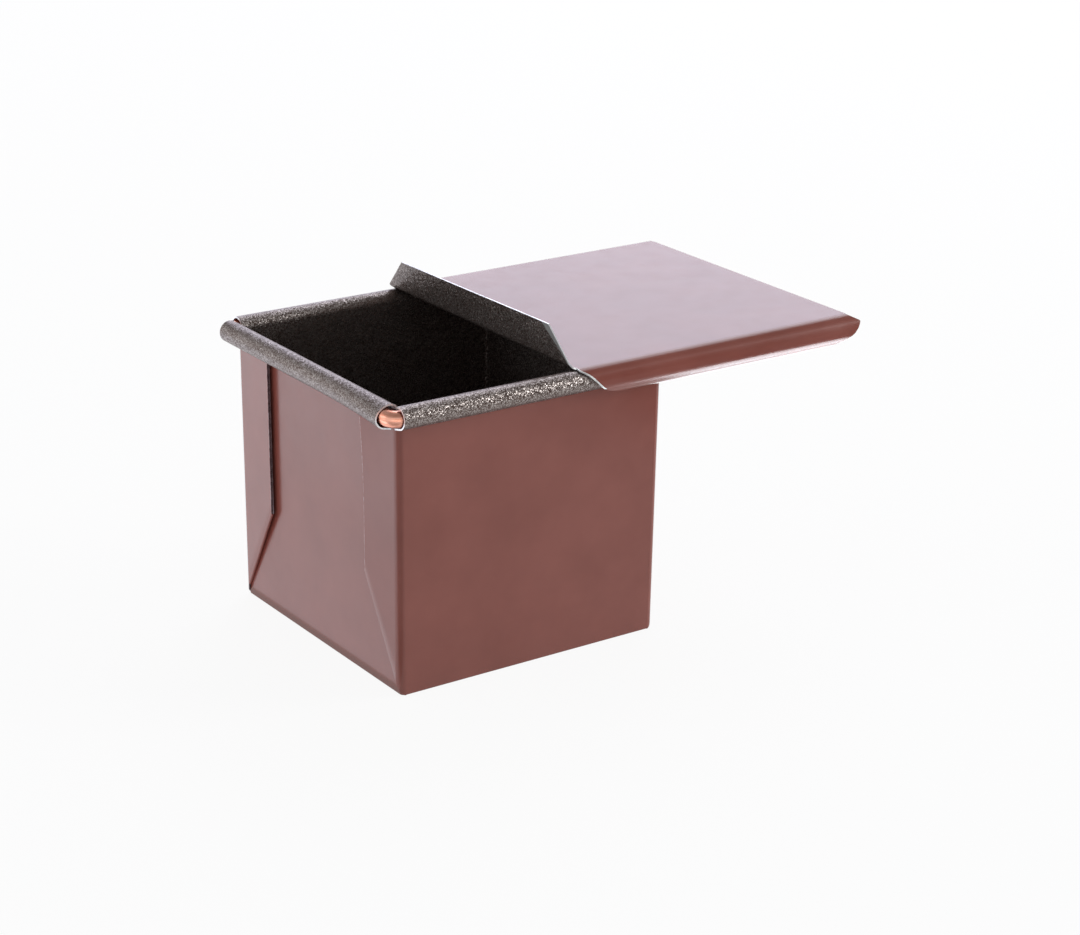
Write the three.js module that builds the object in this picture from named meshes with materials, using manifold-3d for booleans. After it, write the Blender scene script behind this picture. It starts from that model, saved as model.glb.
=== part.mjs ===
// A cube loaf pan with a sliding lid, both folded from thin coated steel, in millimetres, +Z up.
// The pan stands on z = 0, centred on the Z axis. The lid slides off along +X and is shown part open.
import * as THREE from "three";
import { mergeVertices } from "three/addons/utils/BufferGeometryUtils.js";
import Module from "manifold-3d";

const wasm = await Module();
wasm.setup();
const rad = THREE.MathUtils.degToRad;

// Driving dimensions of the pan.
const SHEET = 0.5; // thickness of the steel, pan and lid alike
const PAN_LENGTH = 100; // along the lid's travel, over the folded ears
const PAN_WIDTH = 100; // across the side walls
const PAN_HEIGHT = 97.3; // floor to the crest of the rim
const PAN_TAPER = 0.5; // how far each wall leans in at the bottom
const PAN_EDGE = 3.1; // outer radius of the upright edges
const PAN_BEND = 1.5; // outer radius between the walls and the bottom

// Driving dimensions of the rim: a wire, and the wall's top rolled outwards round it.
const WIRE = 5.2; // diameter of the wire
const WIRE_TURN = 3.5; // radius of its corners, at the middle of the wire
const WIRE_BUTT = 0.4; // gap between the two ends of the wire
const ROLL_ROOM = 0.55; // space between the wire and the rolled sheet
const ROLL_TURN = 257; // degrees that the sheet turns through
const ROLL_TAIL = 3; // straight end of the sheet, below the wire
const ROLL_SHORT = 0.8; // a roll stops this far inside the next wall at one end
const ROLL_LONG_SIDE = 2.5; // and runs this far past the next wall at the other, on the side walls
const ROLL_LONG_END = 1; // the same on the end walls
const ROLL_FREE = 70; // degrees of turn that are missing where it runs past

// Driving dimensions of the ears: the corners of the blank, folded double onto the end walls.
const EAR_FRONT = 18.8; // upright edge of the pan to the cut edge of a front ear
const EAR_REAR = 21.6; // the same on the rear ears, which are trimmed less
const EAR_BREAK = 36; // height where the slanted fold meets the cut edge
const EAR_SPRING = 3; // degrees that an ear springs away from its wall
const EAR_SLIT = 0.15; // hairline between the two layers of an ear

// Driving dimensions of the lid.
const SEAT = 0.3; // play where one piece rests on another
const LID_OPEN = 68.6; // how far the lid stands from its closed place
const HOOK_TURN = 160; // degrees that the lid's sides turn through round the rim
const HOOK_DROP = 1.4; // upright part of a hook, between its upper and its lower bend
const HOOK_CUT = 38; // degrees, slant of the hooks' cut at the lip end
const HOOK_PAST = 2.2; // how far the hooks run past the stop, at their points
const HOOK_POINT = 4.3; // way round the hook from the flat to the point
const HOOK_POINT_CUTS = [40, 28]; // degrees, slant of the cuts above and below the point
const LIP_HEIGHT = 11.7; // upturned lip, above the lid's top
const LIP_LEAN = 8; // degrees that the lip leans out
const LIP_OUT = 0.7; // the closed lip stands this far outside the rim
const LIP_BEND = 1.5; // outer radius between the lid and the lip
const LIP_CUTS = [41, 35]; // degrees, slant of the lip's front and rear ends
const STOP_DEPTH = 7; // downturned stop, below the lid's top
const STOP_BEND = 2; // outer radius between the lid and the stop
const STOP_RELIEF = 0.4; // slit between the stop and each hook

// Places that follow from the dimensions.
const ROLL_INNER = WIRE / 2 + ROLL_ROOM;
const ROLL_OUTER = ROLL_INNER + SHEET;
const ROLL_Z = PAN_HEIGHT - ROLL_OUTER;
const ROLL_OUT = ROLL_INNER; // middle of a roll, outside its wall's face
const SIDE_FACE = PAN_WIDTH / 2;
const END_FACE = PAN_LENGTH / 2 - 2 * SHEET;
const TUB_EDGE = PAN_EDGE - 2 * SHEET; // upright edges of the walls, inside the ears
const RIM_END = END_FACE + ROLL_OUT + ROLL_OUTER; // outermost place of the rim along X
const EAR_TOP = rollPoint(ROLL_OUTER, ROLL_TURN, ROLL_TAIL).y - SEAT;
const LID_UNDER = PAN_HEIGHT + SEAT;
const LID_TOP = LID_UNDER + SHEET;
const HOOK_Y = SIDE_FACE + ROLL_OUT; // where the lid's flat ends and its hook begins
const HOOK_INNER = ROLL_OUTER + SEAT;
const HOOK_OUTER = HOOK_INNER + SHEET;
const HOOK_LOW_Z = ROLL_Z - HOOK_DROP; // middle of a hook's lower bend
const LIP_X = LID_OPEN - RIM_END - LIP_OUT + LIP_BEND; // middle of the lip's bend
const STOP_X = LID_OPEN + RIM_END + SEAT + SHEET; // outer face of the stop
const STOP_BEND_X = STOP_X - STOP_BEND;

const CORNER_STEPS = 6; // flats in a quarter turn
const ARC_STEPS = 12; // half the flats of a rolled edge
const WIRE_SIDES = 20;
const OVERLAP = 1; // how far joined shapes reach into each other
const BEYOND = 10; // how far cutting shapes reach past the pan

const X = new THREE.Vector3(1, 0, 0);
const Y = new THREE.Vector3(0, 1, 0);
const Z = new THREE.Vector3(0, 0, 1);

/** A closed geometry as a solid that can be joined and cut. */
function solid(geometry) {
  const bare = new THREE.BufferGeometry();
  bare.setAttribute("position", geometry.getAttribute("position"));
  bare.setIndex(geometry.index);
  const merged = mergeVertices(bare, 1e-4);
  return new wasm.Manifold(
    new wasm.Mesh({
      numProp: 3,
      vertProperties: merged.getAttribute("position").array,
      triVerts: new Uint32Array(merged.index.array),
    }),
  );
}

/** A solid back as a geometry. */
function geometryOf(body) {
  const mesh = body.getMesh();
  const geometry = new THREE.BufferGeometry();
  geometry.setAttribute("position", new THREE.BufferAttribute(mesh.vertProperties, 3));
  geometry.setIndex(new THREE.BufferAttribute(mesh.triVerts, 1));
  return geometry;
}

/** Each vertex of a geometry moved to where `place` puts it. */
function reshaped(geometry, place) {
  const position = geometry.getAttribute("position");
  const point = new THREE.Vector3();
  for (let i = 0; i < position.count; i++) {
    const moved = place(point.fromBufferAttribute(position, i));
    position.setXYZ(i, moved.x, moved.y, moved.z);
  }
  return geometry;
}

/** A flat outline pushed out, with its own axes laid along three directions and moved to `origin`. */
function extruded(shape, depth, [right, up, along], origin = new THREE.Vector3()) {
  const geometry = new THREE.ExtrudeGeometry(shape, {
    depth,
    bevelEnabled: false,
    curveSegments: ARC_STEPS,
  });
  const basis = new THREE.Matrix4().makeBasis(right, up, along).setPosition(origin);
  return geometry.applyMatrix4(basis);
}

/** Rings of equally many points, joined into one skin that is closed at both ends. */
function skin(rings) {
  const count = rings[0].length;
  const last = (rings.length - 1) * count;
  const index = [];
  for (let start = 0; start < last; start += count) {
    for (let i = 0; i < count; i++) {
      const a = start + i;
      const b = start + ((i + 1) % count);
      index.push(a, b, b + count, a, b + count, a + count);
    }
  }
  for (let i = 1; i + 1 < count; i++) {
    index.push(0, i + 1, i, last, last + i, last + i + 1);
  }
  const geometry = new THREE.BufferGeometry().setFromPoints(rings.flat());
  geometry.setIndex(index);
  return geometry;
}

/** A level rectangle with rounded corners, counter-clockwise from above. */
function roundedRing(halfX, halfY, radius, z) {
  const points = [];
  for (let quarter = 0; quarter < 4; quarter++) {
    const middleX = (quarter % 3 === 0 ? 1 : -1) * (halfX - radius);
    const middleY = (quarter < 2 ? 1 : -1) * (halfY - radius);
    for (let step = 0; step <= CORNER_STEPS; step++) {
      const angle = rad(90 * (quarter + step / CORNER_STEPS));
      const x = middleX + radius * Math.cos(angle);
      const y = middleY + radius * Math.sin(angle);
      points.push(new THREE.Vector3(x, y, z));
    }
  }
  return points;
}

// The pan's tub: walls and bottom bent up from one sheet, as high as the ears.

/** Rings that follow one face of the tub from its flat bottom to its top edge. */
function tubFace(inset, cornerRadius) {
  const bend = PAN_BEND - inset;
  const rings = [];
  for (let step = 0; step <= CORNER_STEPS; step++) {
    const angle = rad((90 * step) / CORNER_STEPS);
    const drawnIn = inset + bend * (1 - Math.sin(angle));
    const z = inset + bend * (1 - Math.cos(angle));
    rings.push(roundedRing(END_FACE - drawnIn, SIDE_FACE - drawnIn, cornerRadius, z));
  }
  rings.push(roundedRing(END_FACE - inset, SIDE_FACE - inset, cornerRadius, EAR_TOP));
  return rings;
}

function tub() {
  const outside = tubFace(0, TUB_EDGE);
  const inside = tubFace(SHEET, TUB_EDGE - SHEET);
  return solid(skin([...outside, ...inside.reverse()]));
}

// The ears.

/** A place on an ear: `out` beyond the pan's length, `along` the end wall from the side wall's face. */
function earPoint(out, along) {
  return new THREE.Vector2(out, along);
}

/** Plan of an ear: round the upright edge from the side wall, then flat along the end wall. */
function earPlan(width) {
  const lean = rad(EAR_SPRING);
  const ahead = new THREE.Vector2(Math.sin(lean), Math.cos(lean));
  const inwards = new THREE.Vector2(-Math.cos(lean), Math.sin(lean));
  const points = [];
  for (let step = 0; step <= CORNER_STEPS; step++) {
    const angle = ((Math.PI / 2 - lean) * step) / CORNER_STEPS;
    points.push(earPoint(PAN_EDGE * (Math.sin(angle) - 1), PAN_EDGE * (1 - Math.cos(angle))));
  }
  const root = points[CORNER_STEPS];
  const reach = (width - root.y) / ahead.y;
  const tip = root.clone().addScaledVector(ahead, reach);
  points.push(tip);
  points.push(tip.clone().addScaledVector(inwards, 2 * SHEET));
  points.push(root.clone().addScaledVector(inwards, 2 * SHEET));
  const sunk = TUB_EDGE - SHEET / 2;
  for (let step = CORNER_STEPS; step >= 0; step--) {
    const angle = rad((90 * step) / CORNER_STEPS);
    points.push(earPoint(sunk * Math.sin(angle) - PAN_EDGE, TUB_EDGE - sunk * Math.cos(angle)));
  }
  return { points, root, tip, ahead, inwards };
}

/** Plan of the hairline between an ear's two layers, open at the cut edge. */
function slitPlan({ root, tip, ahead, inwards }) {
  const near = SHEET - EAR_SLIT / 2;
  const far = SHEET + EAR_SLIT / 2;
  const end = tip.clone().addScaledVector(ahead, OVERLAP);
  return [
    root.clone().addScaledVector(inwards, near),
    end.clone().addScaledVector(inwards, near),
    end.clone().addScaledVector(inwards, far),
    root.clone().addScaledVector(inwards, far),
  ];
}

/** Everything above the slanted fold of the ear at one side wall, raised by `rise`. */
function aboveFold(sideY, width, rise) {
  const slope = (EAR_BREAK - PAN_BEND) / width;
  const fold = (along) =>
    new THREE.Vector2(sideY * (SIDE_FACE - along), PAN_BEND + rise + slope * along);
  const top = EAR_TOP + BEYOND;
  const shape = new THREE.Shape([
    fold(-BEYOND),
    fold(width + BEYOND),
    new THREE.Vector2(sideY * (SIDE_FACE - width - BEYOND), top),
    new THREE.Vector2(sideY * (SIDE_FACE + BEYOND), top),
  ]);
  const length = PAN_LENGTH + 2 * BEYOND;
  return solid(extruded(shape, length, [Y, Z, X], new THREE.Vector3(-length / 2, 0, 0)));
}

/** The ear at the corner with these signs, two layers thick. */
function ear(endX, sideY) {
  const upright = (plan, height) => {
    const corners = plan.map(
      (p) => new THREE.Vector2(endX * (PAN_LENGTH / 2 + p.x), sideY * (SIDE_FACE - p.y)),
    );
    return solid(extruded(new THREE.Shape(corners), height, [X, Y, Z]));
  };
  const width = sideY < 0 ? EAR_FRONT : EAR_REAR;
  const plan = earPlan(width);
  const slit = upright(slitPlan(plan), EAR_TOP + OVERLAP);
  const pocket = slit.intersect(aboveFold(sideY, width, 2 * SHEET));
  return upright(plan.points, EAR_TOP).intersect(aboveFold(sideY, width, 0)).subtract(pocket);
}

// The rolled rim.

/** A place on a rolled edge: out from the wall's face, and up. `tail` goes straight on from `turn`. */
function rollPoint(radius, turn, tail = 0) {
  const angle = rad(turn);
  const out = ROLL_OUT - radius * Math.cos(angle) + tail * Math.sin(angle);
  const up = ROLL_Z + radius * Math.sin(angle) + tail * Math.cos(angle);
  return new THREE.Vector2(out, up);
}

/** Section of a roll from `start` degrees on, with the wall below it down to `foot` if that is given. */
function rollShape(start, foot) {
  const shape = new THREE.Shape();
  const first = Math.PI - rad(start);
  const last = Math.PI - rad(ROLL_TURN);
  const innerTail = rollPoint(ROLL_INNER, ROLL_TURN, ROLL_TAIL);
  const outerTail = rollPoint(ROLL_OUTER, ROLL_TURN, ROLL_TAIL);
  const innerStart = rollPoint(ROLL_INNER, start);
  if (foot === undefined) {
    shape.moveTo(innerStart.x, innerStart.y);
  } else {
    shape.moveTo(0, foot);
    shape.lineTo(innerStart.x, innerStart.y);
  }
  shape.absarc(ROLL_OUT, ROLL_Z, ROLL_INNER, first, last, true);
  shape.lineTo(innerTail.x, innerTail.y);
  shape.lineTo(outerTail.x, outerTail.y);
  shape.absarc(ROLL_OUT, ROLL_Z, ROLL_OUTER, last, first, false);
  if (foot !== undefined) {
    shape.lineTo(-SHEET, foot);
  }
  shape.closePath();
  return shape;
}

/** The roll on the wall that faces `outwards`; `face` and `nextFace` are half the pan's two sizes. */
function roll(outwards, face, nextFace, overrun) {
  const along = outwards.clone().cross(Z);
  const wallEnd = nextFace - SHEET - SEAT;
  const place = (start) =>
    outwards.clone().multiplyScalar(face).addScaledVector(along, start);
  const axes = [outwards, Z, along];
  const start = -(nextFace - ROLL_SHORT);
  const rooted = extruded(rollShape(0, EAR_TOP - OVERLAP), wallEnd - start, axes, place(start));
  const pastStart = wallEnd - OVERLAP;
  const pastLength = nextFace + overrun - pastStart;
  const past = extruded(rollShape(ROLL_FREE), pastLength, axes, place(pastStart));
  return solid(rooted).add(solid(past));
}

/** The pan: one folded blank, leaning in a little towards its bottom. */
function panBody() {
  let body = tub();
  for (const endX of [-1, 1]) {
    for (const sideY of [-1, 1]) {
      body = body.add(ear(endX, sideY));
    }
  }
  for (const way of [1, -1]) {
    const endwards = X.clone().multiplyScalar(way);
    const sidewards = Y.clone().multiplyScalar(way);
    body = body.add(roll(endwards, END_FACE, SIDE_FACE, ROLL_LONG_END));
    body = body.add(roll(sidewards, SIDE_FACE, END_FACE, ROLL_LONG_SIDE));
  }
  const footScale = 1 - PAN_TAPER / SIDE_FACE;
  return reshaped(geometryOf(body), (point) => {
    const share = Math.min(point.z / EAR_TOP, 1);
    const scale = THREE.MathUtils.lerp(footScale, 1, share);
    return new THREE.Vector3(point.x * scale, point.y * scale, point.z);
  });
}

/** The wire in the rim: one length bent at four corners, its ends butting inside the far roll. */
function rimWire() {
  const halfX = END_FACE + ROLL_OUT;
  const halfY = SIDE_FACE + ROLL_OUT;
  const z = ROLL_Z - ROLL_ROOM + SEAT;
  const rings = [];
  const addRing = (x, y, heading) => {
    const side = new THREE.Vector3(-Math.sin(heading), Math.cos(heading), 0);
    const ring = [];
    for (let i = 0; i < WIRE_SIDES; i++) {
      const angle = (2 * Math.PI * i) / WIRE_SIDES;
      const point = new THREE.Vector3(x, y, z);
      point.addScaledVector(side, (WIRE / 2) * Math.cos(angle));
      point.addScaledVector(Z, (WIRE / 2) * Math.sin(angle));
      ring.push(point);
    }
    rings.push(ring);
  };
  addRing(-WIRE_BUTT / 2, halfY, Math.PI);
  for (let corner = 0; corner < 4; corner++) {
    const signX = corner === 0 || corner === 1 ? -1 : 1;
    const signY = corner === 0 || corner === 3 ? 1 : -1;
    for (let step = 0; step <= CORNER_STEPS; step++) {
      const angle = rad(90 * (corner + 1 + step / CORNER_STEPS));
      const x = signX * (halfX - WIRE_TURN) + WIRE_TURN * Math.cos(angle);
      const y = signY * (halfY - WIRE_TURN) + WIRE_TURN * Math.sin(angle);
      addRing(x, y, angle + Math.PI / 2);
    }
  }
  addRing(WIRE_BUTT / 2, halfY, Math.PI);
  return skin(rings);
}

// The lid.

/** Section across the lid: the flat top, with both sides turned down and in round the rim. */
function lidShape() {
  const crest = Math.PI / 2;
  const under = rad(HOOK_TURN - 90);
  const shape = new THREE.Shape();
  shape.absarc(-HOOK_Y, HOOK_LOW_Z, HOOK_OUTER, Math.PI + under, Math.PI, true);
  shape.absarc(-HOOK_Y, ROLL_Z, HOOK_OUTER, Math.PI, crest, true);
  shape.absarc(HOOK_Y, ROLL_Z, HOOK_OUTER, crest, 0, true);
  shape.absarc(HOOK_Y, HOOK_LOW_Z, HOOK_OUTER, 0, -under, true);
  shape.absarc(HOOK_Y, HOOK_LOW_Z, HOOK_INNER, -under, 0, false);
  shape.absarc(HOOK_Y, ROLL_Z, HOOK_INNER, 0, crest, false);
  shape.absarc(-HOOK_Y, ROLL_Z, HOOK_INNER, crest, Math.PI, false);
  shape.absarc(-HOOK_Y, HOOK_LOW_Z, HOOK_INNER, Math.PI, Math.PI + under, false);
  shape.closePath();
  return shape;
}

/** How far round a hook a point lies, measured in the sheet from the edge of the flat. */
function roundHook(point) {
  const out = Math.max(Math.abs(point.y) - HOOK_Y, 0);
  const drop = THREE.MathUtils.clamp(ROLL_Z - point.z, 0, HOOK_DROP);
  const turn = Math.atan2(out, point.z + drop - ROLL_Z);
  return ((HOOK_INNER + HOOK_OUTER) / 2) * turn + drop;
}

/** The lid's top and hooks, their ends cut aslant as the corners of the flat blank are. */
function lidTop() {
  const [cutAbove, cutBelow] = HOOK_POINT_CUTS.map((angle) => Math.tan(rad(angle)));
  return reshaped(extruded(lidShape(), 1, [Y, Z, X]), (point) => {
    const round = roundHook(point);
    const past = round - HOOK_POINT;
    const lipEnd = LIP_X + round * Math.tan(rad(HOOK_CUT));
    const stopEnd = STOP_X + HOOK_PAST - Math.max(-past * cutAbove, past * cutBelow);
    return new THREE.Vector3(point.x < 0.5 ? lipEnd : stopEnd, point.y, point.z);
  });
}

/** The upturned lip at the end that closes last, narrower towards its top. */
function lip() {
  const bendZ = LID_UNDER + LIP_BEND;
  const down = -Math.PI / 2;
  const turned = down - rad(90 - LIP_LEAN);
  const rise = (LID_TOP + LIP_HEIGHT - bendZ) / Math.cos(rad(LIP_LEAN));
  const top = (radius) =>
    new THREE.Vector2(LIP_X, bendZ)
      .addScaledVector(new THREE.Vector2(Math.cos(turned), Math.sin(turned)), radius)
      .addScaledVector(new THREE.Vector2(Math.sin(turned), -Math.cos(turned)), rise);
  const outerTop = top(LIP_BEND);
  const innerTop = top(LIP_BEND - SHEET);
  const shape = new THREE.Shape();
  shape.moveTo(LIP_X + OVERLAP, LID_UNDER);
  shape.absarc(LIP_X, bendZ, LIP_BEND, down, turned, true);
  shape.lineTo(outerTop.x, outerTop.y);
  shape.lineTo(innerTop.x, innerTop.y);
  shape.absarc(LIP_X, bendZ, LIP_BEND - SHEET, turned, down, false);
  shape.lineTo(LIP_X + OVERLAP, LID_TOP);
  shape.closePath();
  const [frontCut, rearCut] = LIP_CUTS.map((angle) => Math.tan(rad(angle)));
  return reshaped(extruded(shape, 1, [X, Z, Y.clone().negate()]), (point) => {
    const height = point.z - LID_UNDER;
    const rear = point.y > -0.5;
    const y = rear ? HOOK_Y - rearCut * height : frontCut * height - HOOK_Y;
    return new THREE.Vector3(point.x, y, point.z);
  });
}

/** The downturned stop at the other end, between slits that part it from the hooks. */
function stop() {
  const half = HOOK_Y - STOP_RELIEF;
  const bendZ = LID_TOP - STOP_BEND;
  const foot = LID_TOP - STOP_DEPTH;
  const up = Math.PI / 2;
  const shape = new THREE.Shape();
  shape.moveTo(STOP_BEND_X - OVERLAP, LID_TOP);
  shape.absarc(STOP_BEND_X, bendZ, STOP_BEND, up, 0, true);
  shape.lineTo(STOP_X, foot);
  shape.lineTo(STOP_X - SHEET, foot);
  shape.absarc(STOP_BEND_X, bendZ, STOP_BEND - SHEET, 0, up, false);
  shape.lineTo(STOP_BEND_X - OVERLAP, LID_UNDER);
  shape.closePath();
  return extruded(shape, 2 * half, [X, Z, Y.clone().negate()], new THREE.Vector3(0, half, 0));
}

/** What the stop's bend replaces: the flat between the hooks, past the bend. */
function stopOpening() {
  const length = HOOK_PAST + STOP_BEND + BEYOND;
  const box = new THREE.BoxGeometry(length, 2 * HOOK_Y, 2 * STOP_BEND);
  return box.translate(STOP_BEND_X + length / 2, 0, LID_TOP);
}

/** The lid: one folded sheet. */
function lid() {
  const top = solid(lidTop()).subtract(solid(stopOpening()));
  return geometryOf(top.add(solid(lip())).add(solid(stop())));
}

const coat = new THREE.MeshStandardMaterial({ color: 0x86554e, roughness: 0.35, metalness: 0.1 });
const copper = new THREE.MeshStandardMaterial({ color: 0xd98f6c, roughness: 0.3, metalness: 1 });

function named(name, geometry, material) {
  const mesh = new THREE.Mesh(geometry, material);
  mesh.name = name;
  return mesh;
}

const pan = new THREE.Group();
pan.add(named("pan_body", panBody(), coat));
pan.add(named("rim_wire", rimWire(), copper));
pan.add(named("lid", lid(), coat));

export default pan;
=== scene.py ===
"""Looks of a cube loaf pan with a sliding lid: folded coated sheet and a copper-coloured wire.

The object's sums are in millimetres and become metres where a mesh is made. The pan stands on z = 0 and
the lid slides off along +X.
"""

import math
from collections import namedtuple

import bmesh
import bpy
from mathutils import Matrix, Vector


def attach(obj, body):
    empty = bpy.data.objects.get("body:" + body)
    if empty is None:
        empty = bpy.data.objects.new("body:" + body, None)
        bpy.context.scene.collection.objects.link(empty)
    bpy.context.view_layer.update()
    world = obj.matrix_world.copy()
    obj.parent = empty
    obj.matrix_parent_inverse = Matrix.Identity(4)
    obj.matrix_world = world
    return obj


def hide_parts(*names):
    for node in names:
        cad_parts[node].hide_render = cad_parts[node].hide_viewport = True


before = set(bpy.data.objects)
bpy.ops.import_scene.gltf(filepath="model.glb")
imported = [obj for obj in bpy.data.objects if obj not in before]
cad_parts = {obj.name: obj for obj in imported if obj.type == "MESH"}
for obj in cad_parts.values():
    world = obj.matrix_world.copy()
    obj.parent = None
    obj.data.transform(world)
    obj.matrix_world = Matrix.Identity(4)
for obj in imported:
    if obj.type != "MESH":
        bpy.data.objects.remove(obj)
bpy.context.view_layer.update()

MM = 0.001
WELD = 0.002  # points closer than this are one
SHARP = math.radians(38)  # bends under this between two faces are shaded smooth

# Sheet, pan and rim.
SHEET = 0.5  # thickness of the steel, pan and lid alike
SEAT = 0.3  # play where one piece rests on another
PAN_LENGTH = 100.0  # along the lid's travel, over the folded ears
PAN_WIDTH = 100.0  # across the side walls
PAN_HEIGHT = 97.3  # floor to the crest of the rim
PAN_TAPER = 0.5  # how far each wall leans in at the bottom
PAN_EDGE = 2.5  # outer radius of the upright edges
PAN_BEND = 0.65  # outer radius between the walls and the bottom
WIRE = 5.2  # diameter of the wire
WIRE_TURN = 3.5  # radius of its corners, at the middle of the wire
WIRE_BUTT = 0.4  # gap between the two ends of the wire
ROLL_ROOM = 0.55  # space between the wire and the rolled sheet
ROLL_TURN = 257.0  # degrees that the sheet turns through
ROLL_TAIL = 3.0  # straight end of the sheet, below the wire
ROLL_SHORT = 0.8  # a roll stops this far inside the next wall at one end
ROLL_LONG_SIDE = 2.5  # and runs this far past the next wall at the other, on the side walls
ROLL_LONG_END = 1.0  # the same on the end walls
ROLL_FREE = 70.0  # degrees of turn that are missing where it runs past

# The bead nearest the corner in view opens a little towards its short end.
FLARE_LENGTH = 40.0  # along the bead, from the front wall
FLARE_OUT = 1.7  # how far it opens outwards at the end
FLARE_OUT_TURNS = (90, 210)  # degrees round the roll between which it does so
FLARE_DROP = 0.4  # how far it sinks at the end
FLARE_DROP_FROM = 180  # degrees round the roll from which it does so
WIRE_FLARE = 1.5  # how far the wire bows out with it

# Ears.
EAR_FRONT = 18.8  # upright edge of the pan to the cut edge of a front ear
EAR_REAR = 21.6  # the same on the rear ears, which are trimmed less
EAR_BREAK = 36.0  # height where the slanted fold meets the cut edge
EAR_SPRING = math.radians(3)  # turn of an ear away from its wall
EAR_LAYER = 0.42  # thickness of each layer, which leaves a hairline between the two
EAR_DEPTH = 2 * SHEET  # coated face of the outer layer to that of the inner one
EAR_FOOT = 0.15  # height of the slanted fold's foot
EAR_LAYERED_FROM = 2.2  # way round the upright edge from which the fold has a second layer
EAR_CURL = 1.2  # how far the front ears' top corners bend out
EAR_CURL_FROM = 55.0  # height where that begins
EAR_SHEEN_STRIP = 0.14  # width of the strip along the cut edge: bare wear with a painted highlight of that edge

# Lid.
HOOK_TURN = math.radians(160)  # turn of the lid's sides round the rim
HOOK_DROP = 1.4  # upright part of a hook, between its upper and its lower bend
HOOK_CUT = math.radians(46.4)  # slant of the cut beside the lip
HOOK_CUT_FROM = 1.9  # way round the hook at which that cut begins
HOOK_CUT_ROUND_FROM = 8.4  # way round the hook at which its corner begins
HOOK_CUT_ROUND = 0.45  # how fast that corner rounds off
HOOK_PAST = 2.2  # how far the hooks run past the stop, at their points
HOOK_POINT = 4.3  # way round the hook from the flat to the point
HOOK_POINT_CUT = math.radians(29)  # slant of the cut below the point
HOOK_POINT_ROUND_FROM = 7.0  # way round the hook at which that cut's corner begins
HOOK_POINT_ROUND = 0.34  # how fast that corner rounds off
HOOK_HOLLOW = 1.9  # how hollow the cut up to the hook's point is; 1 is straight
HOOK_SHEEN_TO = 9.4  # way round the hook at which the bare strip ends
HOOK_SHEEN = 0.7  # width of the bare strip along the hook's cut beside the lip, made light as a painted highlight of that edge
HOOK_SHEEN_LEAST = 0.1  # share of that width at the lip's foot
HOOK_SHEEN_FULL = 4.0  # way round the hook at which the strip is widest
LID_OPEN = 68.6  # how far the lid stands from its closed place
LIP_HEIGHT = 11.7  # upturned lip, above the lid's top
LIP_LEANS = (math.radians(5), math.radians(12))  # how far it leans out, front end and rear end
LIP_OUT = 0.7  # the closed lip stands this far outside the rim
LIP_BEND = 1.5  # outer radius between the lid and the lip
LIP_FEET = (52.4, 56.6)  # half width at the foot, front end and rear end
LIP_CUTS = (math.radians(43.4), math.radians(47))  # slant of the front end and the rear end
LIP_WORN = (3.4, 0.0)  # how wide the corner bared by grinding is at the top, front end and rear end
LIP_WORN_SPREAD = 1.3  # how fast that narrows downwards
STOP_DEPTH = 7.0  # downturned stop, below the lid's top
STOP_BEND = 2.0  # outer radius between the lid and the stop
STOP_RELIEF = 0.4  # slit between the stop and each hook

# Places that follow.
ROLL_INNER = WIRE / 2 + ROLL_ROOM
ROLL_OUTER = ROLL_INNER + SHEET
ROLL_Z = PAN_HEIGHT - ROLL_OUTER
SIDE_FACE = PAN_WIDTH / 2
END_FACE = PAN_LENGTH / 2 - 2 * SHEET
TUB_EDGE = PAN_EDGE - 2 * SHEET  # upright edges of the walls, inside the ears
RIM_END = END_FACE + ROLL_INNER + ROLL_OUTER  # outermost place of the rim along X
LID_UNDER = PAN_HEIGHT + SEAT
LID_TOP = LID_UNDER + SHEET
HOOK_Y = SIDE_FACE + ROLL_INNER  # where the lid's flat ends and its hook begins
HOOK_OUTER = ROLL_OUTER + SEAT + SHEET
HOOK_MIDDLE = HOOK_OUTER - SHEET / 2
LIP_X = LID_OPEN - RIM_END - LIP_OUT + LIP_BEND  # middle of the lip's bend
STOP_X = LID_OPEN + RIM_END + SEAT + SHEET  # outer face of the stop
STOP_BEND_X = STOP_X - STOP_BEND

X = Vector((1, 0, 0))
Y = Vector((0, 1, 0))
Z = Vector((0, 0, 1))

# How finely the meshes are divided.
WALL_STEPS = 24
BEND_STEPS = 8
ROLL_STEPS = 48
EDGE_STEPS = 8
EAR_STEPS = 12
FOLD_STEPS = 10
LID_STEPS = 24
LIP_STEPS = 16
HOOK_STEPS = 16
WIRE_SIDES = 48
WIRE_STEPS = 12

# A wall's direction, its distance from the middle, the next wall's, and how its roll ends.
Wall = namedtuple("Wall", "out face next_face overrun flared")
WALLS = (
    Wall(X, END_FACE, SIDE_FACE, ROLL_LONG_END, False),
    Wall(-Y, SIDE_FACE, END_FACE, ROLL_LONG_SIDE, False),
    Wall(-X, END_FACE, SIDE_FACE, ROLL_LONG_END, True),
    Wall(Y, SIDE_FACE, END_FACE, ROLL_LONG_SIDE, False),
)


def share(value, low, high):
    """How far value is on its way from low to high, from 0 to 1."""
    return min(max((value - low) / (high - low), 0.0), 1.0)


def smooth(value, low, high):
    """As share, but setting out and arriving gently."""
    t = share(value, low, high)
    return t * t * (3 - 2 * t)


def spread(low, high, steps):
    """Evenly spaced values from low to high."""
    return [low + (high - low) * step / steps for step in range(steps + 1)]


def eased(turn, steps):
    """Angles of a bend whose first and last flats are slight, so that it runs on from what it joins."""
    first = math.radians(1)
    return [0.0, *spread(first, turn - first, steps), turn]


# Sheets and meshes.

# What a patch of sheet shows: its coatings whole, or one face bare to the metal, which along the ears'
# and hooks' cut edges is also a painted highlight of that edge. Each is the place of the first of its
# three materials.
WHOLE = 0
WORN_INSIDE = 3
WORN_AND_SHEEN_OUTSIDE = 6


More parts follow.
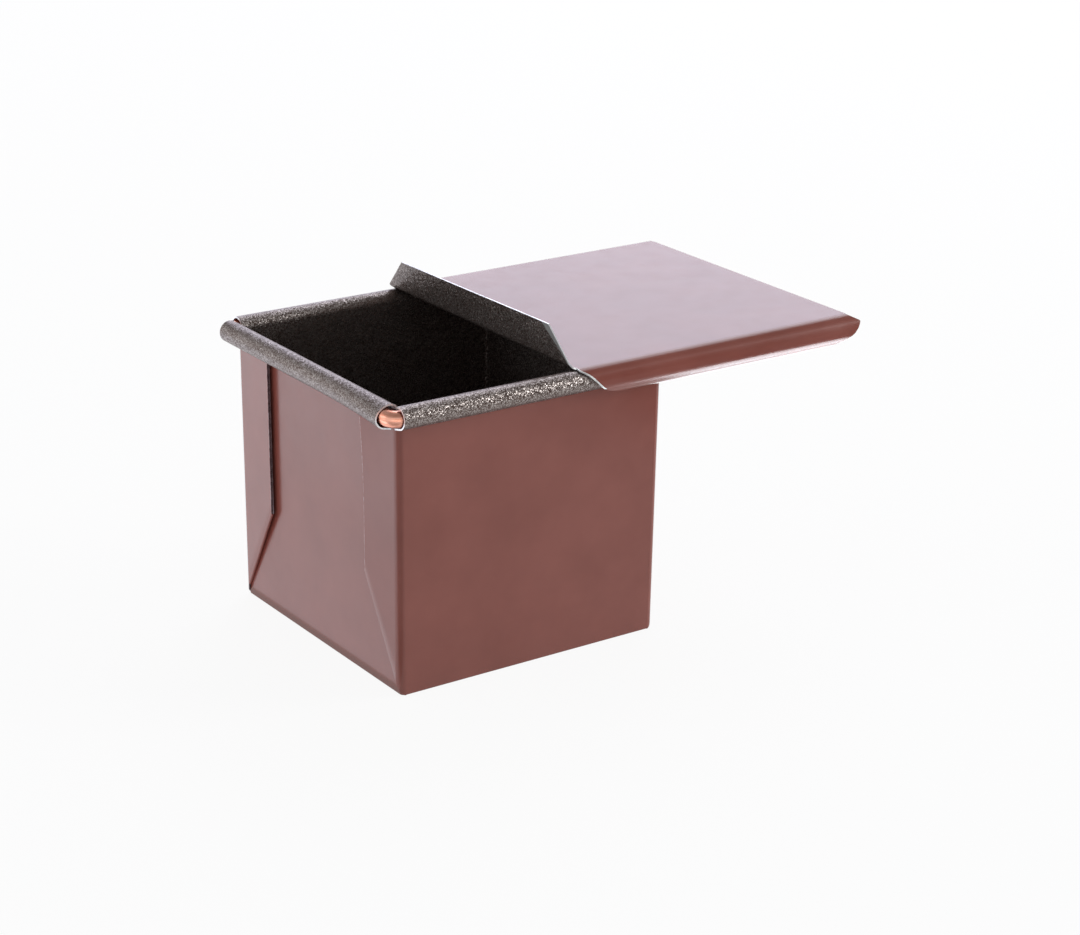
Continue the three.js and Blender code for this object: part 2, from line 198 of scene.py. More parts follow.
class Sheet:
    """Patches of a folded sheet's coated face, welded where they meet and then given their thickness."""

    def __init__(self):
        self.mesh = bmesh.new()

    def vertex(self, point):
        return None if point is None else self.mesh.verts.new(point)

    def patch(self, rows, finish=None):
        """Faces between rows of points. A cell with a missing corner, None, stays open."""
        grid = [[self.vertex(point) for point in row] for row in rows]
        for j, (row, next_row) in enumerate(zip(grid, grid[1:])):
            for i in range(len(row) - 1):
                corners = (row[i], next_row[i], next_row[i + 1], row[i + 1])
                if None not in corners:
                    face = self.mesh.faces.new(corners)
                    face.material_index = finish(j, i) if finish else WHOLE

    def flat(self, points):
        """One face with these corners."""
        self.mesh.faces.new([self.vertex(point) for point in points])

    def welded(self):
        """The patches joined into one mesh, in metres."""
        bmesh.ops.remove_doubles(self.mesh, verts=self.mesh.verts, dist=WELD)
        loose = [vertex for vertex in self.mesh.verts if not vertex.link_faces]
        bmesh.ops.delete(self.mesh, geom=loose, context="VERTS")
        bmesh.ops.scale(self.mesh, vec=(MM, MM, MM), verts=self.mesh.verts)
        return self.mesh

    def piece(self, name, thickness, finishes):
        """The sheet as a closed object: coated face, other face and cut edges each in their material."""
        coat, inside, edge, worn_and_sheen = finishes
        materials = [coat, inside, edge, coat, worn_and_sheen, edge, worn_and_sheen, inside, edge]
        base = finished_object(name, self.welded(), materials)
        solidify = base.modifiers.new("thickness", "SOLIDIFY")
        solidify.thickness = thickness * MM
        solidify.offset = -1
        solidify.use_even_offset = True
        solidify.use_quality_normals = True
        solidify.material_offset = 1
        solidify.material_offset_rim = 2
        seen = base.evaluated_get(bpy.context.evaluated_depsgraph_get())
        base.data = bpy.data.meshes.new_from_object(seen)
        base.modifiers.clear()
        shade(base.data)
        return base


def shade(mesh):
    """Smooth over bends and sharp at cut edges."""
    mesh.shade_smooth()
    mesh.set_sharp_from_angle(angle=SHARP)


def finished_object(name, made, materials):
    """An object in the scene with a mesh that has been made and its materials."""
    mesh = bpy.data.meshes.new(name)
    made.to_mesh(mesh)
    made.free()
    for material in materials:
        mesh.materials.append(material)
    shade(mesh)
    piece = bpy.data.objects.new(name, mesh)
    bpy.context.scene.collection.objects.link(piece)
    return piece


def dress(piece, body, node):
    """The piece moves with a body and stands for a CAD node, which is hidden."""
    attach(piece, body)
    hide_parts(node)


# The pan.


def roll_point(turn, tail=0.0):
    """Place on the coated face of a rolled edge, out from its wall and up; tail goes on straight."""
    angle = math.radians(turn)
    out = ROLL_INNER - ROLL_INNER * math.cos(angle) + tail * math.sin(angle)
    up = ROLL_Z + ROLL_INNER * math.sin(angle) + tail * math.cos(angle)
    return out, up


TAIL_FOOT = ROLL_Z + ROLL_OUTER * math.sin(math.radians(ROLL_TURN))
EAR_TOP = TAIL_FOOT + ROLL_TAIL * math.cos(math.radians(ROLL_TURN)) - SEAT


def tapered(point):
    """The walls lean in towards the bottom."""
    foot = 1 - PAN_TAPER / SIDE_FACE
    scale = foot + (1 - foot) * share(point.z, 0, EAR_TOP)
    return Vector((point.x * scale, point.y * scale, point.z))


def tub_ring(drawn_in, z):
    """Places round the tub, clockwise from above and closed, with its walls drawn in by so much."""
    points = []
    for wall in WALLS:
        along = wall.out.cross(Z)
        reach = wall.next_face - TUB_EDGE - drawn_in
        face = wall.face - drawn_in
        for place in spread(-reach, reach, WALL_STEPS):
            points.append(wall.out * face + along * place + Z * z)
        middle = wall.out * (face - TUB_EDGE) + along * reach
        for angle in eased(math.pi / 2, EDGE_STEPS)[1:-1]:
            arm = wall.out * math.cos(angle) + along * math.sin(angle)
            points.append(middle + arm * TUB_EDGE + Z * z)
    points.append(points[0])
    return [tapered(point) for point in points]


def add_tub(sheet):
    """The bottom, the bend round it and the walls up to the rim."""
    rings = []
    for angle in eased(math.pi / 2, BEND_STEPS):
        rings.append(tub_ring(PAN_BEND * (1 - math.sin(angle)), PAN_BEND * (1 - math.cos(angle))))
    rings.append(tub_ring(0, EAR_TOP))
    sheet.patch(rings)
    sheet.flat(rings[0][:-1])


def flare_share(y):
    """How far the flared bead has opened at y."""
    return share(-y, SIDE_FACE - FLARE_LENGTH, SIDE_FACE) ** 2


def rolled(wall, place, turn, tail):
    """Place on a wall's rolled edge, with the flare at its short end."""
    out, up = roll_point(turn, tail)
    if wall.flared:
        open_share = flare_share(place)
        out += FLARE_OUT * open_share * smooth(turn, *FLARE_OUT_TURNS)
        up -= FLARE_DROP * open_share * smooth(turn, FLARE_DROP_FROM, ROLL_TURN)
    return wall.out * (wall.face + out) + wall.out.cross(Z) * place + Z * up


def add_roll(sheet, wall):
    """The leg above the tub, the roll and its straight end; the overrun has no leg."""
    reach = wall.next_face - TUB_EDGE
    leg_end = wall.next_face - SHEET - SEAT
    places = [ROLL_SHORT - wall.next_face]
    places += spread(-reach, reach, WALL_STEPS)
    places += [leg_end, wall.next_face + wall.overrun]
    foot = [wall.out * wall.face + wall.out.cross(Z) * place + Z * EAR_TOP for place in places[:-1]]
    rows = [[*foot, None]]
    turns = [*spread(0, ROLL_FREE, ROLL_STEPS // 4), *spread(ROLL_FREE, ROLL_TURN, ROLL_STEPS)[1:]]
    for turn in turns:
        row = [rolled(wall, place, turn, 0) for place in places]
        if turn < ROLL_FREE:
            row[-1] = None
        rows.append(row)
    rows.append([rolled(wall, place, ROLL_TURN, ROLL_TAIL) for place in places])
    sheet.patch(rows)


def make_pan(finishes):
    """The pan without its ears: the tub and its four rolled edges."""
    sheet = Sheet()
    add_tub(sheet)
    for wall in WALLS:
        add_roll(sheet, wall)
    return sheet.piece("pan_shell", SHEET, finishes)


def ear_columns(width):
    """Plan of an ear's coated face, from the side wall to the cut edge: out, along, inward direction."""
    columns = []
    for angle in eased(math.pi / 2 - EAR_SPRING, EDGE_STEPS):
        out = PAN_EDGE * (math.sin(angle) - 1)
        along = PAN_EDGE * (1 - math.cos(angle))
        columns.append((out, along, Vector((-math.sin(angle), math.cos(angle)))))
    out, root, inward = columns[-1]
    for along in [*spread(root, width - EAR_SHEEN_STRIP, EAR_STEPS)[1:], width]:
        columns.append((out + (along - root) * math.tan(EAR_SPRING), along, inward))
    return columns


# One row of an ear: its depth under the outer face and its height over the slanted fold's foot, given as
# a share of the way up to the ear's top and a share of the fold's own radius.
EarRow = namedtuple("EarRow", "depth up_share fold_share")


def ear_rows():
    """Down the ear's outer layer, round the fold and up the inner layer."""
    down = [EarRow(0.0, up, 1.0) for up in spread(1, 0, EAR_STEPS)]
    fold = []
    for angle in spread(0, math.pi, FOLD_STEPS)[1:-1]:
        fold.append(EarRow(EAR_DEPTH * (1 - math.cos(angle)) / 2, 0.0, 1 - math.sin(angle)))
    up = [EarRow(EAR_DEPTH, up, 1.0) for up in spread(0, 1, EAR_STEPS)]
    return down + fold + up


def make_ear(name, end_x, side_y, finishes):
    """An ear: the side wall's sheet round the upright edge, folded back under itself along a slant."""
    width = EAR_FRONT if side_y < 0 else EAR_REAR
    curl = EAR_CURL if side_y < 0 else 0.0
    columns = ear_columns(width)
    rows = []
    for place in ear_rows():
        row = []
        for out, along, inward in columns:
            layered = along > EAR_LAYERED_FROM
            if place.depth > 0 and not layered:
                row.append(None)
                continue
            foot = EAR_FOOT + (EAR_BREAK - EAR_FOOT) * along / width
            if layered:
                foot += EAR_DEPTH / 2 * place.fold_share
            z = foot + (EAR_TOP - foot) * place.up_share
            bent = curl * share(z, EAR_CURL_FROM, EAR_TOP) ** 2 * share(along, PAN_EDGE, width) ** 2
            x = end_x * (PAN_LENGTH / 2 + out + bent + inward.x * place.depth)
            y = side_y * (SIDE_FACE - along - inward.y * place.depth)
            row.append(tapered(Vector((x, y, z))))
        rows.append(row)
    # The column along the cut edge is lighter: wear with a painted highlight of that edge.
    worn_and_sheen = len(columns) - 2
    if end_x * side_y > 0:
        rows = [row[::-1] for row in rows]
        worn_and_sheen = 0
    sheet = Sheet()
    sheet.patch(rows, lambda j, i: WORN_AND_SHEEN_OUTSIDE if i == worn_and_sheen and j < EAR_STEPS else WHOLE)
    return sheet.piece(name, EAR_LAYER, finishes)


def make_wire(copper):
    """The rim's wire, bent at four corners, with its ends butting inside the rear bead."""
    half_x = END_FACE + ROLL_INNER
    half_y = SIDE_FACE + ROLL_INNER
    z = ROLL_Z - ROLL_ROOM + SEAT
    stations = [(-WIRE_BUTT / 2, half_y, math.pi)]
    for corner, (sign_x, sign_y) in enumerate(((-1, 1), (-1, -1), (1, -1), (1, 1))):
        for angle in eased(math.pi / 2, WIRE_STEPS):
            heading = math.pi / 2 * (corner + 1) + angle
            x = sign_x * (half_x - WIRE_TURN) + WIRE_TURN * math.cos(heading)
            y = sign_y * (half_y - WIRE_TURN) + WIRE_TURN * math.sin(heading)
            stations.append((x, y, heading + math.pi / 2))
        if (sign_x, sign_y) == (-1, 1):
            run = half_y - WIRE_TURN
            stations += [(-half_x, y, 1.5 * math.pi) for y in spread(run, -run, WIRE_STEPS)[1:-1]]
    stations.append((WIRE_BUTT / 2, half_y, math.pi))
    tube = bmesh.new()
    rings = []
    for x, y, heading in stations:
        x -= WIRE_FLARE * share(-x, 0, half_x - WIRE_TURN) * flare_share(y)
        side = Vector((-math.sin(heading), math.cos(heading), 0))
        ring = []
        for i in range(WIRE_SIDES):
            angle = 2 * math.pi * i / WIRE_SIDES
            arm = side * math.cos(angle) + Z * math.sin(angle)
            ring.append(tube.verts.new((Vector((x, y, z)) + arm * (WIRE / 2)) * MM))
        rings.append(ring)
    for ring, next_ring in zip(rings, rings[1:]):
        for i in range(WIRE_SIDES):
            j = (i + 1) % WIRE_SIDES
            tube.faces.new((ring[i], ring[j], next_ring[j], next_ring[i]))
    tube.faces.new(rings[0][::-1])
    tube.faces.new(rings[-1])
    return finished_object("rim_wire_bent", tube, [copper])


# The lid.

Column = namedtuple("Column", "y z round")


def lid_columns():
    """Section across the lid's coated face, front to rear, with the way round the hook from the flat."""
    half = []
    for turn in eased(HOOK_TURN - math.pi / 2, HOOK_STEPS)[::-1]:
        out = HOOK_OUTER * math.cos(turn)
        z = ROLL_Z - HOOK_DROP - HOOK_OUTER * math.sin(turn)
        half.append(Column(HOOK_Y + out, z, HOOK_MIDDLE * (math.pi / 2 + turn) + HOOK_DROP))
    for turn in eased(math.pi / 2, HOOK_STEPS)[::-1]:
        out = HOOK_OUTER * math.sin(turn)
        half.append(Column(HOOK_Y + out, ROLL_Z + HOOK_OUTER * math.cos(turn), HOOK_MIDDLE * turn))
    front = [column._replace(y=-column.y) for column in half]
    inner = HOOK_Y - STOP_RELIEF
    flat = [Column(y, LID_TOP, 0.0) for y in spread(-inner, inner, LID_STEPS)]
    return front + flat + half[::-1]


def hook_ends(round_hook):
    """Where a hook's cuts begin and end it, along X: slanted, and rounded off towards its free edge."""
    cut_corner = HOOK_CUT_ROUND * max(round_hook - HOOK_CUT_ROUND_FROM, 0) ** 2
    lip_end = LIP_X + max(round_hook - HOOK_CUT_FROM, 0) * math.tan(HOOK_CUT) + cut_corner
    point = STOP_X + HOOK_PAST
    if round_hook < HOOK_POINT:
        return lip_end, STOP_BEND_X + (point - STOP_BEND_X) * (round_hook / HOOK_POINT) ** HOOK_HOLLOW
    point_corner = HOOK_POINT_ROUND * max(round_hook - HOOK_POINT_ROUND_FROM, 0) ** 2
    return lip_end, point - (round_hook - HOOK_POINT) * math.tan(HOOK_POINT_CUT) - point_corner


def lip_point(y, turn, rise_share):
    """Place on the lip's coated face: a share of the way round its bend, then a share of the way up."""
    end = 0 if y < 0 else 1
    rear_share = share(y, -HOOK_Y, HOOK_Y)
    lean = LIP_LEANS[0] + (LIP_LEANS[1] - LIP_LEANS[0]) * rear_share
    angle = (math.pi / 2 - lean) * turn
    bend_z = LID_UNDER + LIP_BEND
    radius = LIP_BEND - SHEET
    rise = (LID_TOP + LIP_HEIGHT - bend_z) * rise_share
    x = LIP_X - radius * math.sin(angle) - rise * math.tan(lean)
    z = bend_z - radius * math.cos(angle) + rise
    height = z - LID_UNDER
    half_width = HOOK_Y + (LIP_FEET[end] - height * math.tan(LIP_CUTS[end]) - HOOK_Y) * turn
    strip = STOP_RELIEF + LIP_WORN[end] * (height / LIP_HEIGHT) ** LIP_WORN_SPREAD * turn
    inner = HOOK_Y - STOP_RELIEF
    if abs(y) > inner + WELD:
        return Vector((x, math.copysign(half_width, y), z))
    return Vector((x, y * (half_width - strip) / inner, z))


def add_top_and_hooks(sheet, columns):
    """The flat top and both hooks, with a bare strip along each hook's cut beside the lip, made light as
    a painted highlight of that edge.
    """
    rows = [[Vector((hook_ends(column.round)[0], column.y, column.z)) for column in columns]]
    for along in spread(0, 1, LID_STEPS):
        row = []
        for column in columns:
            low, high = hook_ends(column.round)
            low += HOOK_SHEEN * (HOOK_SHEEN_LEAST + smooth(column.round, 0, HOOK_SHEEN_FULL))
            row.append(Vector((low + (high - low) * along, column.y, column.z)))
        rows.append(row)

    # The strip beside the lip is bare metal painted light, a painted highlight of the hook's cut edge.
    def finish(j, i):
        on_hook = 0 < columns[i].round + columns[i + 1].round < 2 * HOOK_SHEEN_TO
        return WORN_AND_SHEEN_OUTSIDE if j == 0 and on_hook else WHOLE

    sheet.patch(rows, finish)


def add_lip(sheet, flat):
    """The upturned lip and its bend, with a corner bared by grinding at the front end."""
    rows = [[lip_point(column.y, 1, rise) for column in flat] for rise in spread(1, 0, LIP_STEPS)]
    rows += [[lip_point(column.y, turn, 0) for column in flat] for turn in spread(1, 0, BEND_STEPS)[1:]]
    sheet.patch(rows, lambda j, i: WORN_INSIDE if i == 0 and j < LIP_STEPS else WHOLE)


def add_stop(sheet, flat):
    """The downturned stop and its bend."""
    rows = []
    for angle in eased(math.pi / 2, BEND_STEPS):
        x = STOP_BEND_X + STOP_BEND * math.sin(angle)
        z = LID_TOP - STOP_BEND * (1 - math.cos(angle))
        rows.append([Vector((x, column.y, z)) for column in flat])
    rows.append([Vector((STOP_X, column.y, LID_TOP - STOP_DEPTH)) for column in flat])
    sheet.patch(rows)


def make_lid(finishes):
    columns = lid_columns()
    flat = [column for column in columns if column.round == 0]
    sheet = Sheet()
    add_top_and_hooks(sheet, columns)
    add_lip(sheet, flat)
    add_stop(sheet, flat[1:-1])
    return sheet.piece("lid_folded", SHEET, finishes)


# Materials.


class Nodes:
    """A material's nodes, made and joined by short calls."""

    def __init__(self, name):
        self.material = bpy.data.materials.new(name)
        self.material.use_nodes = True
        self.tree = self.material.node_tree
        self.shader = self.tree.nodes["Principled BSDF"]
        self.place = self.tree.nodes.new("ShaderNodeTexCoord").outputs["Object"]

    def link(self, source, target):
        self.tree.links.new(source, target)

    def noise(self, size, detail=2.0, flatness=1.0):
        """Soft noise with features of about size millimetres, flatness times less high than wide."""
        node = self.tree.nodes.new("ShaderNodeTexNoise")
        node.inputs["Scale"].default_value = 1 / (size * MM)
        node.inputs["Detail"].default_value = detail
        place = self.vector("MULTIPLY", self.place, (1, 1, flatness)) if flatness != 1 else self.place
        self.link(place, node.inputs["Vector"])
        return node.outputs["Fac"]

    def vector(self, operation, first, second=None):
        """Result of an operation on a vector made by nodes and, where it takes two, a second one."""
        node = self.tree.nodes.new("ShaderNodeVectorMath")
        node.operation = operation
        self.link(first, node.inputs[0])
        if isinstance(second, tuple):
            node.inputs[1].default_value = second
        elif second is not None:
            self.link(second, node.inputs[1])
        return node.outputs["Vector"]

    def flakes(self, size, tilt, normal):
        """A random value on each flake of about size millimetres, and a normal tilted at random there."""
        node = self.tree.nodes.new("ShaderNodeTexVoronoi")
        node.inputs["Scale"].default_value = 1 / (size * MM)
        self.link(self.place, node.inputs["Vector"])
        split = self.tree.nodes.new("ShaderNodeSeparateColor")
        self.link(node.outputs["Color"], split.inputs["Color"])
        aside = self.vector("SUBTRACT", node.outputs["Color"], (0.5, 0.5, 0.5))
        aside = self.vector("MULTIPLY", aside, (tilt, tilt, tilt))
        return split.outputs["Red"], self.vector("NORMALIZE", self.vector("ADD", aside, normal))

    def between(self, value, low, high, to_low=0.0, to_high=1.0):
        """Value carried from low..high to to_low..to_high."""
        node = self.tree.nodes.new("ShaderNodeMapRange")
        names = ("From Min", "From Max", "To Min", "To Max")
        for name, number in zip(names, (low, high, to_low, to_high)):
            node.inputs[name].default_value = number
        self.link(value, node.inputs["Value"])
        return node.outputs["Result"]

    def mix(self, amount, first, second):
        """Colour between two others."""
        node = self.tree.nodes.new("ShaderNodeMix")
        node.data_type = "RGBA"
        self.link(amount, node.inputs["Factor"])
        for source, target in ((first, node.inputs[6]), (second, node.inputs[7])):
            if isinstance(source, tuple):
                target.default_value = (*source, 1)
            else:
                self.link(source, target)
        return node.outputs[2]

    def bump(self, height, distance, onto=None):
        """Relief of that height in millimetres, on top of another relief."""
        node = self.tree.nodes.new("ShaderNodeBump")
        node.inputs["Distance"].default_value = distance * MM
        self.link(height, node.inputs["Height"])
        if onto is not None:
            self.link(onto, node.inputs["Normal"])
        return node.outputs["Normal"]

    def set(self, **values):
        """Constants on the shader's sockets, by their names with underscores for spaces."""
        for name, value in values.items():
            self.shader.inputs[name.replace("_", " ")].default_value = value


def coat_material():
    """Red-brown baked coating, semi-gloss, over sheet that isn't perfectly flat."""
    nodes = Nodes("red_brown_coat")
    cloud = nodes.between(nodes.noise(22, 3), 0.3, 0.7)
    colour = nodes.mix(cloud, (0.208, 0.055, 0.039), (0.245, 0.070, 0.052))
    nodes.link(colour, nodes.shader.inputs["Base Color"])
    nodes.link(nodes.between(nodes.noise(6, 3), 0.3, 0.7, 0.20, 0.27), nodes.shader.inputs["Roughness"])
    waves = nodes.bump(nodes.noise(45, 1), 0.06)
    nodes.link(nodes.bump(nodes.noise(2.0, 2), 0.004, waves), nodes.shader.inputs["Normal"])
    nodes.set(IOR=1.5)
    return nodes.material


def nonstick_material():
    """Dark brown coating with fine metal flakes that catch the light one by one."""
    nodes = Nodes("speckled_nonstick")
    relief = nodes.bump(nodes.noise(0.8, 2), 0.015)
    flake, facet = nodes.flakes(0.25, 0.47, relief)
    colour = nodes.mix(nodes.between(flake, 0.35, 1.0), (0.090, 0.060, 0.050), (0.45, 0.405, 0.385))
    nodes.link(colour, nodes.shader.inputs["Base Color"])
    nodes.link(nodes.between(flake, 0, 1, 0.42, 0.33), nodes.shader.inputs["Roughness"])
    nodes.link(facet, nodes.shader.inputs["Normal"])
    nodes.set(Metallic=0.76, Specular_Tint=(0.5, 0.48, 0.5, 1), Coat_Weight=0.3, Coat_Roughness=0.2)
    return nodes.material


def bare_material(name, dark, light):
    """Sheet without its coating, along cut edges and strips of wear; on the ears' and hooks' strips it is
    also a painted highlight.
    """
    nodes = Nodes(name)
    stain = nodes.between(nodes.noise(1.2, 3), 0.35, 0.65)
    nodes.link(nodes.mix(stain, dark, light), nodes.shader.inputs["Base Color"])
    nodes.link(nodes.between(stain, 0, 1, 0.5, 0.35), nodes.shader.inputs["Roughness"])
    nodes.link(nodes.bump(nodes.noise(0.3, 2), 0.01), nodes.shader.inputs["Normal"])
    nodes.set(Metallic=0.8)
    return nodes.material


def copper_material():
    """Drawn copper-coloured wire with lengthwise streaks."""
    nodes = Nodes("copper_wire")
    streak = nodes.noise(4, 3, 6)
    colour = nodes.mix(nodes.between(streak, 0.35, 0.65), (0.72, 0.30, 0.20), (0.90, 0.46, 0.34))
    nodes.link(colour, nodes.shader.inputs["Base Color"])
    nodes.link(nodes.between(streak, 0.3, 0.7, 0.42, 0.28), nodes.shader.inputs["Roughness"])
    nodes.link(nodes.bump(streak, 0.02), nodes.shader.inputs["Normal"])
    nodes.set(Metallic=1.0)
    return nodes.material


# Studio. The floor, cards and lamps are placed in metres, and the lamps' powers are in watts.


def shown_to_eye(tree):
    """1 for rays that come from the camera or from gloss or glass, else 0."""
    path = tree.nodes.new("ShaderNodeLightPath")
    total = path.outputs["Is Camera Ray"]
    for name in ("Is Glossy Ray", "Is Transmission Ray"):
        node = tree.nodes.new("ShaderNodeMath")
        node.operation = "MAXIMUM"
        tree.links.new(total, node.inputs[0])
        tree.links.new(path.outputs[name], node.inputs[1])
        total = node.outputs["Value"]
    return total


AMBIENT = 0.33  # strength of the world as a light
CEILING = 0.35  # brightness overhead where the horizon's is 1
HORIZON_TO = math.radians(25)  # elevation up to which the white of the horizon goes
CEILING_FROM = math.radians(45)  # elevation from which the ceiling's brightness is reached
FLOOR_HALF = 6  # half the width of the floor
FLOOR_GREY = 0.97
FLOOR_EVENNESS = 0.92  # share of the floor's look that is plain white, without shadow
CARD_Z = 0.002  # height of what lies on the floor
CARD_PALE = 0.9
# Grey of the dark cards, painted shade seen only in gloss.
SHADE_CARD_GREY = 0.1
LAMP_AIM = (0.03, 0, 0.06)  # middle of the open pan and its lid


def make_world():
    """White round the horizon and dimmer overhead for the eye and in gloss, and dim as a light."""
    world = bpy.data.worlds.new("studio")
    world.use_nodes = True
    tree = world.node_tree
    place = tree.nodes.new("ShaderNodeTexCoord").outputs["Generated"]
    height = tree.nodes.new("ShaderNodeSeparateXYZ")
    tree.links.new(place, height.inputs["Vector"])
    shown = tree.nodes.new("ShaderNodeMapRange")
    shown.inputs["From Min"].default_value = math.sin(HORIZON_TO)
    shown.inputs["From Max"].default_value = math.sin(CEILING_FROM)
    shown.inputs["To Min"].default_value = 1
    shown.inputs["To Max"].default_value = CEILING
    tree.links.new(height.outputs["Z"], shown.inputs["Value"])
    strength = tree.nodes.new("ShaderNodeMapRange")
    strength.inputs["To Min"].default_value = AMBIENT
    tree.links.new(shown_to_eye(tree), strength.inputs["Value"])
    tree.links.new(shown.outputs["Result"], strength.inputs["To Max"])
    background = tree.nodes["Background"]
    background.inputs["Color"].default_value = (1, 1, 1, 1)
    tree.links.new(strength.outputs["Result"], background.inputs["Strength"])
    bpy.context.scene.world = world


def make_floor():
    """A wide pale floor that keeps a light shadow."""
    made = bmesh.new()
    bmesh.ops.create_grid(made, x_segments=1, y_segments=1, size=FLOOR_HALF)
    material = bpy.data.materials.new("pale_floor")
    material.use_nodes = True
    tree = material.node_tree
    tree.nodes.clear()
    output = tree.nodes.new("ShaderNodeOutputMaterial")
    paper = tree.nodes.new("ShaderNodeBsdfDiffuse")
    paper.inputs["Color"].default_value = (FLOOR_GREY, FLOOR_GREY, FLOOR_GREY, 1)
    white = tree.nodes.new("ShaderNodeEmission")
    amount = tree.nodes.new("ShaderNodeMath")
    amount.operation = "MULTIPLY"
    amount.inputs[1].default_value = FLOOR_EVENNESS
    tree.links.new(shown_to_eye(tree), amount.inputs[0])
    mix = tree.nodes.new("ShaderNodeMixShader")
    tree.links.new(amount.outputs["Value"], mix.inputs["Fac"])
    tree.links.new(paper.outputs["BSDF"], mix.inputs[1])
    tree.links.new(white.outputs["Emission"], mix.inputs[2])
    tree.links.new(mix.outputs["Shader"], output.inputs["Surface"])
    floor = finished_object("floor", made, [material])


def make_card(name, corners, grey):
    """A card seen in gloss alone: a dark one is painted shade in what mirrors it and keeps that colour
    deep.
    """
    made = bmesh.new()
    made.faces.new([made.verts.new(corner) for corner in corners])
    material = bpy.data.materials.new(name)
    material.use_nodes = True
    shader = material.node_tree.nodes["Principled BSDF"]
    shader.inputs["Base Color"].default_value = (grey, grey, grey, 1)
    card = finished_object(name, made, [material])
    card.visible_camera = False
    card.visible_diffuse = False
    card.visible_shadow = False


def rectangle(low, high):
    """Corners of a rectangle, in its own plane."""
    return low, (high[0], low[1]), high, (low[0], high[1])


def lying(low, high):
    """Corners of a card on the floor."""
    return [(x, y, CARD_Z) for x, y in rectangle(low, high)]


def upright(y, low, high):
    """Corners of a card that stands at y and faces along it."""
    return [(x, y, z) for x, z in rectangle(low, high)]


def make_cards():
    """A pale card by the near corner, and two dark ones at the right that the lid's hook mirrors, as
    painted shade in its reflection.
    """
    make_card("card_near", lying((-0.35, -0.35), (-0.054, -0.054)), CARD_PALE)
    # These two dark cards are painted shade in the hook's reflection.
    make_card("shade_card_right", lying((0.17, -2.0), (2.0, -0.14)), SHADE_CARD_GREY)
    make_card("shade_card_upright", upright(-2, (0.2, 0), (3.0, 1.4)), SHADE_CARD_GREY)


def softbox(name, place, aim, size, power, colour=(1, 1, 1)):
    """A soft lamp at a place, turned to what it aims at."""
    lamp = bpy.data.lights.new(name, "AREA")
    lamp.shape = "RECTANGLE"
    lamp.size, lamp.size_y = size
    lamp.energy = power
    lamp.color = colour
    light = bpy.data.objects.new(name, lamp)
    light.visible_camera = False
    light.location = place
    light.rotation_euler = (Vector(aim) - Vector(place)).to_track_quat("-Z", "Y").to_euler()
    bpy.context.scene.collection.objects.link(light)
    return light


def glow(name, low, high, power, colour):
    """A bright patch of the floor that shines upwards."""
    place = Vector(((low[0] + high[0]) / 2, (low[1] + high[1]) / 2, CARD_Z))
    return softbox(name, place, place + Z, (high[0] - low[0], high[1] - low[1]), power, colour)


def make_lights(lid):
    """Soft lamps round the object and bright patches of the floor, two of which light only the lid."""
    softbox("left", (-1.3, 0.7, 0.55), LAMP_AIM, (1.2, 0.9), 3.8, (0.9, 0.94, 1.0))
    softbox("right", (1.7, -0.8, 0.42), LAMP_AIM, (0.9, 0.9), 24)
    softbox("front", (-0.7, -1.2, 0.1), LAMP_AIM, (1.0, 0.2), 1.8)
    softbox("back", (1.0, 1.5, 0.75), LAMP_AIM, (1.7, 1.2), 10, (0.77, 0.78, 1.0))
    softbox("back_high", (0.95, 0.75, 1.3), LAMP_AIM, (1.0, 0.9), 7.5, (0.9, 0.92, 1.0))
    glow("table_left", (-0.13, -0.05), (-0.0498, 0.45), 0.083, (0.83, 0.87, 1.0))
    glow("table_far_left", (-0.36, -0.05), (-0.13, 0.45), 0.37, (0.81, 0.88, 1.0))
    under_lid = bpy.data.collections.new("lit_from_below")
    under_lid.objects.link(lid)
    for light in (
        glow("table_front", (0.115, -0.13), (0.215, -0.055), 0.22, (0.85, 0.93, 1.0)),
        glow("table_right", (0.115, -0.055), (0.285, 0.055), 0.18, (0.9, 0.95, 1.0)),
    ):
        light.visible_diffuse = False
        light.light_linking.receiver_collection = under_lid


# The camera, in millimetres.
CAMERA_YAW = math.radians(34.993)
CAMERA_PITCH = math.radians(20.350)
CAMERA_ROLL = math.radians(0.806)
CAMERA_DISTANCE = 860.3
CAMERA_RIGHT = 30.75  # how far it is shifted aside
CAMERA_UP = 1.17  # how far it is shifted up
CAMERA_AIM = Vector((0, 0, 50))
CAMERA_LENS = 86.78
CAMERA_SENSOR = 36
CAMERA_FARTHEST = 50000


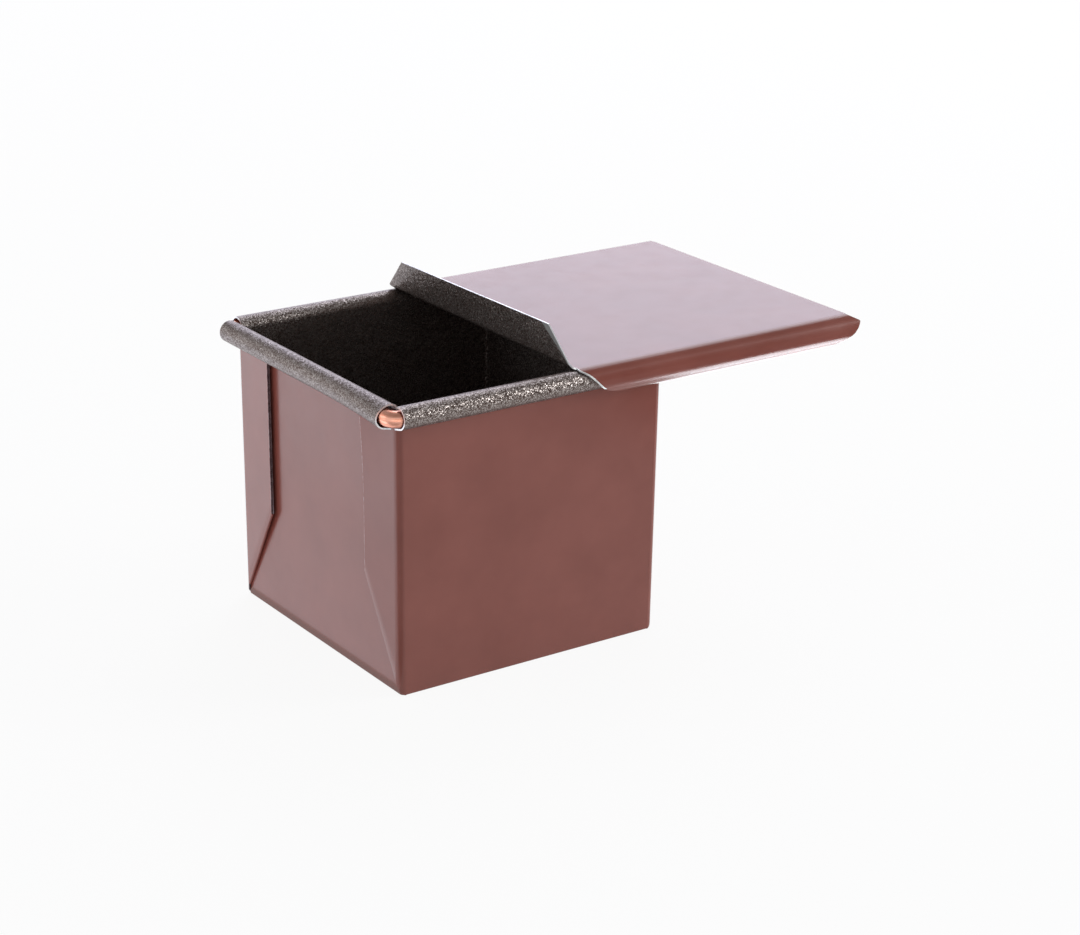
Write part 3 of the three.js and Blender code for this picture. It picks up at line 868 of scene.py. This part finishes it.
def make_camera():
    """The camera that was fitted to the photograph."""
    level = math.cos(CAMERA_PITCH)
    ahead = Vector((math.sin(CAMERA_YAW) * level, math.cos(CAMERA_YAW) * level, -math.sin(CAMERA_PITCH)))
    right = Vector((math.cos(CAMERA_YAW), -math.sin(CAMERA_YAW), 0))
    up = right.cross(ahead)
    right, up = (
        right * math.cos(CAMERA_ROLL) + up * math.sin(CAMERA_ROLL),
        up * math.cos(CAMERA_ROLL) - right * math.sin(CAMERA_ROLL),
    )
    place = CAMERA_AIM - ahead * CAMERA_DISTANCE + right * CAMERA_RIGHT + up * CAMERA_UP
    lens = bpy.data.cameras.new("camera")
    lens.lens = CAMERA_LENS
    lens.sensor_width = CAMERA_SENSOR
    lens.clip_end = CAMERA_FARTHEST * MM
    camera = bpy.data.objects.new("camera", lens)
    turn = Matrix((right, up, -ahead)).transposed().to_4x4()
    camera.matrix_world = Matrix.Translation(place * MM) @ turn
    bpy.context.scene.collection.objects.link(camera)
    bpy.context.scene.camera = camera


def make_object():
    """Every piece, on its body and in its finish. Returns the lid."""
    coat = coat_material()
    nonstick = nonstick_material()
    cut = bare_material("sheared_edge", (0.70, 0.70, 0.72), (0.88, 0.88, 0.90))
    # The ears' cut edges are given a dark colour, unlike the pale cut edges of the pan and lid.
    dark_edge = bare_material("dark_ear_edge", (0.10, 0.07, 0.075), (0.22, 0.17, 0.18))
    # Bare metal of the lip's front corner, and of the hooks' strip, where it is a painted highlight.
    ground_and_sheen = bare_material("ground_edge_and_sheen", (0.55, 0.56, 0.55), (0.75, 0.76, 0.75))
    # The ears' strip by the cut edge: specks of wear, painted lighter as the edge's highlight.
    rubbed_and_sheen = bare_material("rubbed_edge_and_sheen", (0.22, 0.10, 0.09), (0.46, 0.35, 0.34))
    dress(make_pan((coat, nonstick, cut, cut)), "pan", "pan_body")
    for end_x, end in ((-1, "left"), (1, "right")):
        for side_y, side in ((-1, "front"), (1, "rear")):
            ear = make_ear(f"ear_{end}_{side}", end_x, side_y, (coat, nonstick, dark_edge, rubbed_and_sheen))
            dress(ear, "pan", "pan_body")
    dress(make_wire(copper_material()), "pan", "rim_wire")
    lid = make_lid((coat, nonstick, cut, ground_and_sheen))
    dress(lid, "lid", "lid")
    return lid


lid = make_object()
make_world()
make_floor()
make_cards()
make_lights(lid)
make_camera()
bpy.context.scene.view_settings.view_transform = "Standard"
